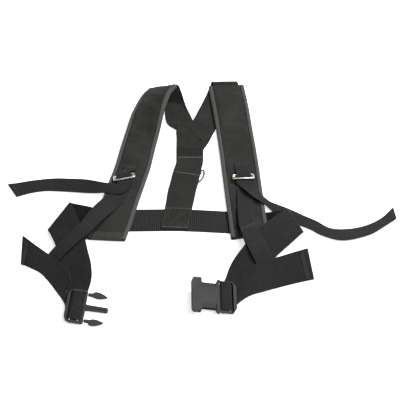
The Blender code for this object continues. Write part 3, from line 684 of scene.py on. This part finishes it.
def build_bindings(side, frames, surface, seed):
    """The tapes, C sections round the long edges, slightly puckered by their seams."""
    length, runs = surface.length, distance_along(TAPE_SECTION)
    for name, low_side in (("west", True), ("east", False)):
        grid, uvs = [], []
        for row, t in zip(frames, surface.t):
            edge, inward, normal = pad_edge(row, low_side)
            pucker = (0.16 * math.sin(2 * math.pi * t / 7.0)
                      + 0.35 * waver(t * 0.12, 3.0, seed + 11))
            wave = 0.4 * waver(t * 0.05, 8.0, seed + 13)
            line = []
            for u, h in TAPE_SECTION:
                swell = pucker * (1 - abs(u - 4) / 5) if h > 1 else 0.0
                sway = wave * (1 if u > 4 else 0.2)
                line.append(edge + inward * (u + sway) + normal * (h + swell))
            grid.append(line)
            uvs.append([(run, t) for run in runs])

        def place(f):
            row = between_rows(frames, f * (len(frames) - 1))
            edge, inward, normal = pad_edge(row, low_side)
            return edge + inward * 4.7 + normal * 3.75, normal
        seam = Stitches(f"{side}_seam_{name}", DARK_THREAD_AND_SHADE)
        seam.row(int(length / 3.6), place, 0.6, 0.3)
        seam.build()
        tape = folded_cloth(f"{side}_binding_tape_{name}", grid, uvs, -1.0 if low_side else 1.0,
                            TAPE, [f"{side}_pad_binding_{name}"])


def build_hem(side, frames, seed):
    """The pad's cloth folded over its lower end, with two rows of dark stitches. The upper row,
    wide and just above the hem's edge, also stands in as painted shade along that edge.
    """
    a, b, across, normal = frames[0]
    along = unit(frames[2][0] + frames[2][1] - a - b)
    width = float(np.linalg.norm(b - a))
    runs = distance_along(HEM_SECTION)
    grid, uvs = [], []
    for c in range(HEM_COLUMNS + 1):
        u = HEM_INSET + (width - 2 * HEM_INSET) * c / HEM_COLUMNS
        sway = 0.3 * waver(u * 0.06, 1.0, seed + 19)
        line = []
        for reach, h in HEM_SECTION:
            soft = 0.3 * waver(u * 0.09, reach * 0.1, seed + 17) if h > 1 else 0
            line.append(a + across * u + along * (reach + sway) + normal * (h + soft))
        grid.append(line)
        uvs.append([(u, run) for run in runs])
    hem = folded_cloth(side + "_hem_fold", grid, uvs, 1.0, HEM_CLOTH,
                       [side + "_pad_hem"])
    seam = Stitches(side + "_hem_seam_and_shade", DARK_THREAD_AND_SHADE)
    wide = width - 2 * HEM_SEAM_INSET
    # The upper row is wide dark stitches just above the hem's folded edge, partly seam and partly
    # painted shade along that edge; the lower row is a seam.
    for reach, h, thick in ((14.2, 3.3, 1.3), (10.3, 3.75, 0.65)):
        start = a + across * HEM_SEAM_INSET + along * reach + normal * h
        seam.row(int(wide / 3.2), lambda f: (start + across * wide * f, normal), thick, 0.35)
    seam.build()


def build_pad(side, rows, seed):
    """A padded strap: a soft body that rises between two binding tapes, hemmed at its lower end."""
    frames = row_frames(smooth_rows(rows))
    surface = PadSurface(frames, seed)
    body = build_pad_body(side, frames, surface, seed)
    build_bindings(side, frames, surface, seed)
    build_hem(side, frames, seed)
    return surface


# ---------------------------------------------------------------- hardware

def rod_mesh(name, path, radius, closed=False, sides=16, flatten=1.0, at=None):
    """A round rod along a path. flatten squeezes it along the Z of its axes."""
    path = [np.array(p, float) for p in path]
    count = len(path)
    points = []
    for i, p in enumerate(path):
        before = path[(i - 1) % count] if closed or i else p
        after = path[(i + 1) % count] if closed or i < count - 1 else p
        along = unit(after - before)
        up = np.array([0, 0, 1.0]) if abs(along[2]) < 0.9 else np.array([1.0, 0, 0])
        side = unit(np.cross(up, along)) * radius
        up = np.cross(along, side) * flatten
        for k in range(sides):
            angle = 2 * math.pi * k / sides
            points.append(p + side * math.cos(angle) + up * math.sin(angle))
    if at is not None:
        points = in_world(at, points)
    return mesh_object(name, points, tube_faces(count, sides, closed))


def join_meshes(name, objects):
    """Several meshes as one piece."""
    shape = bmesh.new()
    for obj in objects:
        shape.from_mesh(obj.data)
        bpy.data.objects.remove(obj, do_unlink=True)
    mesh = bpy.data.meshes.new(name)
    bmesh.ops.recalc_face_normals(shape, faces=shape.faces)
    shape.to_mesh(mesh)
    shape.free()
    mesh.polygons.foreach_set("use_smooth", [True] * len(mesh.polygons))
    return bpy.data.objects.new(name, mesh)


def corner_path(points, radius, steps=5):
    """A closed path with its corners rounded."""
    made = []
    for i, p in enumerate(points):
        p = np.array(p, float)
        a = p + unit(np.array(points[i - 1], float) - p) * radius
        b = p + unit(np.array(points[(i + 1) % len(points)], float) - p) * radius
        for k in range(steps + 1):
            f = k / steps
            made.append(a * (1 - f) ** 2 + p * 2 * f * (1 - f) + b * f ** 2)
    return made


def build_slides():
    """The wire frame of each slide, and its loose bar with two tines at each end."""
    half = SLIDE_WIDTH / 2
    x = half - 1.5
    loop = corner_path([(-x, 0, 0), (x, 0, 0), (x, SLIDE_DEPTH, 0), (-x, SLIDE_DEPTH, 0)], 2.0)
    middle = [(x, FLOAT_AT, 0) for x in np.linspace(-half + 4.2, half - 4.2, 12)]
    for side, at in (("left", LEFT_SLIDE_AT), ("right", RIGHT_SLIDE_AT)):
        wire = rod_mesh(side + "_slide_wire", loop, SLIDE_WIRE, closed=True, sides=14, at=at)
        link(wire, STEEL, side + "_slide", [side + "_slide_frame"])
        rods = [rod_mesh("bar", middle, GRIP_WIRE, at=at)]
        for sign in (-1, 1):
            for z in (-2.0, 2.0):
                x0, x1 = sign * (half - 5.2), sign * (half + 0.4)
                tine = [(x0, FLOAT_AT, z * 0.75), (x0 + sign * 0.8, FLOAT_AT, z),
                        (x1 - sign * 0.3, FLOAT_AT, z), (x1, FLOAT_AT, z)]
                rods.append(rod_mesh("tine", tine, TINE_WIRE, sides=12, flatten=0.75, at=at))
        link(join_meshes(side + "_slide_grip", rods), BRASS, side + "_bar", [side + "_slide_bar"])


def build_ring():
    """A D: a straight bar, two tight corners and half a circle."""
    reach = RING_WIDTH / 2 - RING_WIRE / 2
    corner = [(1.2, -0.35), (0.3, -1.2), (0, -2.6)]
    loop = [(x, 0, 0) for x in np.linspace(-reach + 3, reach - 3, 24)]
    loop += [(reach - x, y, 0) for x, y in corner]
    loop += [(reach * math.cos(math.radians(-a)), -5 + reach * math.sin(math.radians(-a)), 0)
             for a in np.linspace(0, 180, 49)]
    loop += [(-reach + x, y, 0) for x, y in corner[::-1]]
    link(rod_mesh("ring_wire", loop, RING_LOOK, closed=True, sides=18, at=RING_AT), RING_STEEL,
         "ring", ["d_ring"])


def soften_cad(name, paint, width):
    """A CAD solid that keeps its shape, with its edges rounded as moulded ones are."""
    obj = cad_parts[name]
    weld = obj.modifiers.new("weld", "WELD")
    weld.merge_threshold = 2e-5
    bevel = obj.modifiers.new("round", "BEVEL")
    bevel.width = width * MM
    bevel.segments = 3
    bevel.limit_method = "ANGLE"
    bevel.angle_limit = math.radians(28)
    obj.modifiers.new("even", "WEIGHTED_NORMAL").weight = 70
    obj.data.polygons.foreach_set("use_smooth", [True] * len(obj.data.polygons))
    if not obj.material_slots:
        obj.data.materials.append(paint)
    for slot in obj.material_slots:
        slot.material = paint


def build_buckle():
    for name, width in (("buckle_male_frame", 0.45), ("buckle_prong_north", 0.35),
                        ("buckle_prong_south", 0.35), ("buckle_female", 0.6)):
        soften_cad(name, PLASTIC, width)


# ---------------------------------------------------------------- the paths of the webbing

LEFT_PAD = [
    (-157, -44, 6.5, -90, -48, 6.5),
    (-148, -8, 6.5, -80, -10, 6.5),
    (-137, 32, 6.5, -71, 31, 6.5),
    (-124, 86, 7, -58, 85, 7),
    (-116, 116, 8, -51, 115, 8),
    (-107, 163, 10, -43, 159, 13),
    (-98, 204, 13, -35, 197, 21),
    (-90, 238, 16, -29, 228, 31),
    (-80, 266, 18, -23, 253, 40),
    (-69, 290, 18, -15, 272, 46),
    (-57, 306, 17, -5, 285, 49),
]
RIGHT_PAD = [
    (94, -45, 6.5, 160, -33, 6.5),
    (91, -13, 6.5, 157, -8, 6.5),
    (87, 29, 6.5, 154, 30, 6.5),
    (80, 111, 6.5, 148, 111, 6.5),
    (76, 157, 6.5, 144, 157, 6.5),
    (70, 215, 6.5, 138, 216, 6.5),
    (63, 274, 6.5, 132, 275, 6.5),
    (57, 322, 6.5, 125, 326, 6.5),
]
BACK_BELT = [
    (-106, -25.5, 0.9, -106, 23.5, 0.9),
    (-60, -25, 0.9, -60, 24, 0.9),
    (0, -24.5, 0.9, 0, 24.5, 0.9),
    (60, -27.5, 0.9, 60, 21.5, 0.9),
    (121, -32, 0.9, 118, 17, 0.9),
]
MALE_AT = pose((-165, -186.5, 11), heading=-5, roll=8)
FEMALE_AT = pose((83, -170.5, 12.6), heading=1, roll=13)
LEFT_SLIDE_AT = pose((-96, 78, 22.2), heading=11, pitch=-24, roll=-4)
RIGHT_SLIDE_AT = pose((118.5, 80.5, 20), heading=3, pitch=-24)
RING_AT = pose((20, 112, 4.3), pitch=3.6)


def through_buckle(at, inner, rise):
    """The rows up the inner slot, over the web bar, down the outer slot and under the outer bar.
    inner is 1 or -1, the way to the inner slot along the X of the buckle's axes."""
    half = SIDE_BELT_WIDTH / 2
    path = [*rise, (8.5, 1.8), (6.5, 3.3), (0, 3.7), (-6.5, 3.3), (-8.5, 1.8), (-9.0, -1.2),
            (-10.2, -3.8), (-12.6, -4.9)]
    return [in_world(at, [(x * inner, -half, z), (x * inner, half, z)]) for x, z in path]


def through_slide(at):
    """The rows of an adjuster strap round the loose bar, from the load side to the tail."""
    half = NARROW_WIDTH / 2
    path = [(-5, -9.5), (1, -7.2), (6, -5.2), (8.1, -3.0), (8.6, 0), (8.1, 2.6), (5.8, 3.9),
            (3.5, 2.6), (2.85, 0), (2.7, -2.0), (1, -3.7), (-4.5, -5.6)]
    return [in_world(at, [(-half, y, z), (half, y, z)]) for y, z in path]


def build_side_belts():
    """Each side belt: two folds, the way through its buckle half, and the loose tail."""
    low, high = (-225, -27, 4, -187, 21, 24), (-225, -30, 8.5, -187, 17, 28)
    load = [
        (-106.5, -30, 0.9, -106.5, 24, 0.9),
        (-153, -32, 0.9, -140, 23, 1.1),
        (-176, -32, 1.2, -154, 24, 8.5),
        (-205, -30, 2.4, -172, 23, 16),
        low,
        *turn_back(low, high, (-0.77, 0.62, 0)),
        high,
        (-217, -45, 10, -177, -5, 28),
        (-209, -64, 11, -168, -28, 27),
        (-203, -86, 12, -158, -57, 27),
        (-196, -106, 12, -151, -83, 26),
        (-190, -130, 10, -144, -109, 24),
        (-184, -153, 7, -142, -130, 15),
        (-176, -177, 4.2, -146, -146, 5),
        (-168, -195, 2.4, -151, -153, 3),
        (-163, -205, 2.0, -159.5, -155, 2.2),
        (-159, -211, 2.6, -157.2, -158.5, 2.8),
    ]
    tail = [
        in_world(MALE_AT, [(-15.5, -24, -5.1), (-17, 27, -5.1)]),
        (-182, -191, 6, -184, -157, 10),
        (-186, -176, 5, -183, -155, 22),
        (-199, -156, 3, -174, -150, 36),
        (-213, -136, 2, -181, -135, 42),
        (-231, -115, 1.6, -197, -119, 46),
        (-247, -105, 1.6, -220, -102, 48),
        (-257, -100, 1.8, -238, -88, 49),
        (-266, -96, 2, -259, -70, 49),
    ]
    buckle = through_buckle(MALE_AT, 1, ((12.2, -6.0), (10.2, -3.4), (9.9, -1.0)))
    ribbon("side_belt_left", load + buckle + tail)
    low, high = (219, -31, 5, 192, 17, 11), (218, -34.5, 8, 191, 12.5, 17)
    load = [
        (121.5, -36, 0.9, 118.5, 18, 0.9),
        (162, -36, 0.9, 157, 17, 1.0),
        (180, -36, 1.4, 168, 14, 7.4),
        low,
        *turn_back(low, high, (0.87, 0.49, 0)),
        high,
        (203, -50, 8, 173, -6, 23),
        (188, -65, 7, 155, -24, 26),
        (175, -78, 6, 138, -39, 27),
        (159, -97, 5, 123, -62, 27),
        (145, -115, 4, 110, -80, 24),
        (131, -133, 3, 99, -92, 16),
        (117, -152, 1.5, 90, -105, 7),
        (104, -172, 1, 84, -122, 2),
        (90, -188, 0.95, 77.5, -136, 1.2),
        (79, -195, 1.2, 73.8, -141.5, 1.6),
    ]
    tail = [
        (98, -186, 4.1, 97, -137, 4.6),
        (103, -178, 4.6, 102.5, -129, 7),
        (123, -162, 4, 114, -117, 16),
        (149, -152, 3, 136, -108, 22),
        (185, -140, 2, 173, -95, 23),
        (209, -133, 1.8, 197, -87, 24.5),
        (233, -127, 1.6, 223, -79, 26),
    ]
    buckle = through_buckle(FEMALE_AT, -1, ((9.0, -4.5), (9.0, -1)))
    ribbon("side_belt_right", load + buckle + tail)


def build_adjusters():
    """Each adjuster: its end sewn on itself, a loop round the belt, the slide, and the tail."""
    load = [
        (-156, -9, 26.5, -135, -26, 25),
        (-159.5, -16, 26.5, -140, -33, 25),
        (-164, -25, 23.5, -146, -42, 23.5),
        (-170, -36, 20, -151, -50, 21),
        (-190, -55, 11.5, -169, -68, 15),
        (-207, -73, 6, -187, -85, 8.5),
        (-217, -82, 4.5, -198, -98, 6),
        (-221, -85, 8, -202, -101, 10),
        (-219, -82, 14, -199, -98, 17),
        (-208, -71, 20, -186, -85, 24),
        (-191, -52, 27, -168, -68, 30),
        (-169, -32, 33, -149, -50, 33),
        (-158, -12, 31, -136, -29, 30),
        (-146, 12, 27, -122, -7, 23),
        (-132, 35, 20, -107, 17, 15),
        (-122, 51, 13, -94, 42, 12),
        (-112, 64, 11.5, -84, 62, 12.6),
    ]
    tail = [
        (-111, 69, 17, -85, 68, 19.5),
        (-114, 68, 18, -90, 58, 17),
        (-119, 69, 20, -99, 49, 15.5),
        (-128, 70, 20, -112, 48, 15),
        (-143, 75, 18, -129, 51, 13.5),
        (-167, 84, 13, -160, 57, 6),
        (-197, 89, 9, -198, 62, 3.5),
        (-224, 92, 6, -236, 65, 1.8),
        (-259, 90, 3.4, -260, 62, 1.3),
        (-309, 81, 1.9, -290, 52, 1.2),
    ]
    ribbon("left_adjuster_strap", load + through_slide(LEFT_SLIDE_AT) + tail)
    load = [
        (107, -22, 22.6, 134, -16, 24),
        (109, -33, 24, 136, -27, 25.5),
        (113, -52, 24, 140, -40, 23.5),
        (119, -72, 19.5, 146, -56, 17.5),
        (126, -87, 12, 153, -73, 8),
        (133, -101, 5, 161, -89, 2),
        (141, -118, 1.4, 167, -99, 1.3),
        (145, -126, 4, 170, -104, 4.5),
        (142, -121, 9, 167, -99, 10),
        (135, -104, 16, 163, -91, 16.5),
        (126, -89, 26, 154, -75, 26),
        (118, -71, 31, 145, -54, 31.5),
        (112, -51, 30, 139, -40, 31),
        (108, -32, 26, 135, -24, 27),
        (106, -2, 20, 133, 0, 21),
        (105.5, 36, 14.6, 134, 35, 14.2),
        (104.5, 60, 12.2, 133, 61, 12),
    ]
    tail = [
        (109, 67, 16.5, 137, 70, 15),
        (120, 51, 22.5, 144, 60, 14),
        (133, 37, 22, 152, 46, 13),
        (148, 29, 16, 164, 36, 9),
        (163, 20, 8, 180, 32, 4),
        (178, 6, 1.6, 199, 25, 1.4),
        (210, -10, 1.2, 228, 8, 1.2),
        (233, -22, 2.4, 247, -3, 1.6),
        (251, -36, 5, 264, -16, 1.8),
        (285, -49, 7, 285, -21, 2.4),
        (334, -38, 8, 326, -14, 1.4),
        (367, -17, 9, 359, 3, 1.4),
        (386, -2, 7, 384, 26, 4),
    ]
    ribbon("right_adjuster_strap", load + through_slide(RIGHT_SLIDE_AT) + tail)


def build_keepers():
    """A short strap sewn on the pad's face, folded round the inner bar of the slide."""
    half, depth = KEEPER_WIDTH / 2, SLIDE_DEPTH
    around = [(depth + 3, -2.2), (depth, -3.1), (depth - 2.2, -2.2), (depth - 3.1, 0),
              (depth - 2.2, 2.2), (depth, 3.1), (depth + 4, 3.4)]
    for side, at, x, far, low in (("left", LEFT_SLIDE_AT, -88, 114, 12.4),
                                  ("right", RIGHT_SLIDE_AT, 115, 122, 10.9)):
        loop = [in_world(at, [(-half, y, z), (half, y, z)]) for y, z in around]
        under = [(x - half, y, low, x + half, y, low) for y in (far, far - 8)]
        over = [(x - half, y, low + 2.3, x + half, y, low + 2.3) for y in (far - 8, far)]
        ribbon(side + "_slide_keeper", under + loop + over)


def build_back():
    """The two rear straps of the V, the panel over their crossing, and the back strap."""
    ribbon("left_rear_strap", [
        (-47.5, 305.5, 21.5, -8, 290, 46),
        (-41, 311, 18.5, -2, 292, 43),
        (-36, 310, 13, 3.5, 287, 32),
        (-33, 304, 8.5, 8, 280, 20),
        (-29, 292, 4.8, 13, 270, 9.5),
        (-28, 264, 3.2, 20, 255, 4),
        (-26, 240, 3.1, 25.5, 241, 3.1),
        (-20, 225, 3.1, 32, 222, 3.1),
        (-6, 214, 3.1, 38, 205, 3.1),
        (6, 205, 3.1, 43, 188, 3.1),
    ])
    high, low = (62, 337, 5.4, 113, 338, 5.4), (61, 336.5, 0.95, 112, 337.5, 0.95)
    ribbon("right_rear_strap", [
        (66.5, 329, 6.4, 115.5, 331, 6.4),
        high,
        *turn_back(high, low, (0, 1, 0)),
        low,
        (57, 322, 0.95, 104, 306, 0.95),
        (42, 280, 0.95, 87.5, 262, 0.95),
        (27, 242, 0.95, 72.5, 224, 0.95),
        (11, 203, 0.95, 56, 183, 0.95),
        (4, 186, 0.95, 47, 166, 0.95),
    ])
    ribbon("yoke_panel", [
        (-5, 222, 5.3, 8, 220.5, 5.3),
        (-5, 213, 5.3, 22, 210, 5.3),
        (-5, 203, 5.3, 34, 193, 5.3),
        (-4, 190, 5.3, 43, 176, 5.3),
        (-4, 173, 5.3, 46, 166, 5.3),
        (-4, 158, 4.6, 46, 156, 4.6),
        (-4, 147, 2.8, 46, 147, 2.8),
        (-4, 136, 1.2, 45, 136, 1.2),
        (-4.5, 122, 0.95, 43, 122, 0.95),
        (-5, 105, 0.95, 42, 105, 0.95),
    ])
    ribbon("back_strap", [
        (-3.5, 146, 5.2, 46, 146, 5.2),
        (-3, 138, 4.2, 46, 138, 4.2),
        (-5, 125, 5.8, 45, 125, 5.8),
        (-8, 112, 7.8, 42, 111, 7.8),
        (-11, 98, 7.3, 40, 97, 7.3),
        (-14, 82, 6.1, 37, 81, 6.1),
        (-18, 65, 4.0, 33, 64, 4.0),
        (-20.5, 45, 2.2, 29.5, 44, 2.2),
        (-22.5, 28, 3.1, 26.5, 27, 3.1),
        (-25, 10, 3.1, 24, 9, 3.1),
        (-30, -20, 3.1, 19, -22, 3.1),
    ])


def build_stitches(pads):
    pale = Stitches("pale_stitches", PALE_THREAD)
    grey = Stitches("grey_stitches", GREY_THREAD)
    brown = Stitches("brown_stitches", BROWN_THREAD)
    dark = Stitches("dark_bars_and_shade", DARK_THREAD_AND_SHADE)
    top = WEB_THICK / 2 + 0.05

    # The X box where the back strap joins the back belt, and the seams at the yoke and the ring.
    strip = STRIPS["back_strap"]
    box_low = strip.across(2.5, 124.0)
    box_high = strip.across(2.5, strip.length - 3.5)
    pale.line(strip, box_high, top, fill=0.9, wide=0.7)
    for low, high in ((0, 0), (1, 1), (0, 1), (1, 0)):
        brown.line(strip, [box_low[low], box_high[high]], top)
    pale.line(strip, box_low, top, pitch=3.6, fill=0.6, wide=0.8)
    pale.line(strip, strip.across(2, 3.4), top, pitch=3.6, fill=0.8, wide=1.3, high=0.6)
    pale.line(strip, [(2, 41.5), (strip.width - 1.5, 49)], top, pitch=3.3, fill=0.95, wide=0.9)

    # The seams of the hems, which lie higher than the strap, and of the ends sewn on themselves.
    for name, back in (("side_belt_left", 9.5), ("side_belt_right", 12.8)):
        strip = STRIPS[name]
        for more in (0, 3.0):
            grey.line(strip, strip.across(3, strip.length - back + more), top * 2.35, pitch=3.0)
    for side, seams in (("left", [((2, 195.5), (2, 195.0))]),
                        ("right", [((1.5, 200.0), (1, 205.0)), ((1.5, 203.0), (1, 208.0))])):
        strip = STRIPS[side + "_adjuster_strap"]
        for (u0, t0), (inset, t1) in seams:
            grey.line(strip, [(u0, t0), (strip.width - inset, t1)], top)
        grey.line(strip, strip.across(2.5, strip.length - 6), top * 2.3, pitch=2.8)
        strip = STRIPS[side + "_slide_keeper"]
        for back in (2.5, 5.5):
            grey.line(strip, strip.across(2, strip.length - back), top, pitch=2.8)

    # Painted shade: an almost unbroken dark thread line along the ditch between a pad's cloth and
    # its tapes. Then the dark bars across the yoke panel's end.
    for surface in pads:
        for u in (DITCH_AT, -DITCH_AT):
            dark.line(surface, [(u, 16), (u, surface.length - 6)], 0.0, pitch=5, fill=0.97,
                      wide=1.3, high=0.3)
    yoke = STRIPS["yoke_panel"]
    for t in (62.5, 67.0, 71.5, 76.0, 80.5):
        dark.line(yoke, yoke.across(2, t), top, pitch=3.8, fill=0.86, wide=1.5, high=0.5)
    for part in (pale, grey, brown, dark):
        part.build()


def build_yoke_edge():
    """The rolled, brownish edge of the yoke panel, where it lies over the rear straps, as a dark
    brown rod: its brown is the edge's own colour, its darkness painted shadow along the edge.
    """
    grid = STRIPS["yoke_panel"].grid
    path = [*grid[0][::2], *(row[-1] for row in grid[1:24])]
    roll = rod_mesh("yoke_edge_roll", [p + np.array([0, 0, 0.2]) for p in path], 1.25, sides=10)
    link(roll, EDGE_ROLL_AND_SHADOW, "harness")


def main():
    build_camera()
    build_studio()
    pads = [build_pad("left", LEFT_PAD, 1), build_pad("right", RIGHT_PAD, 2)]
    ribbon("back_belt", BACK_BELT)
    build_side_belts()
    build_adjusters()
    build_keepers()
    build_back()
    build_slides()
    build_ring()
    build_buckle()
    build_stitches(pads)
    build_yoke_edge()


main()
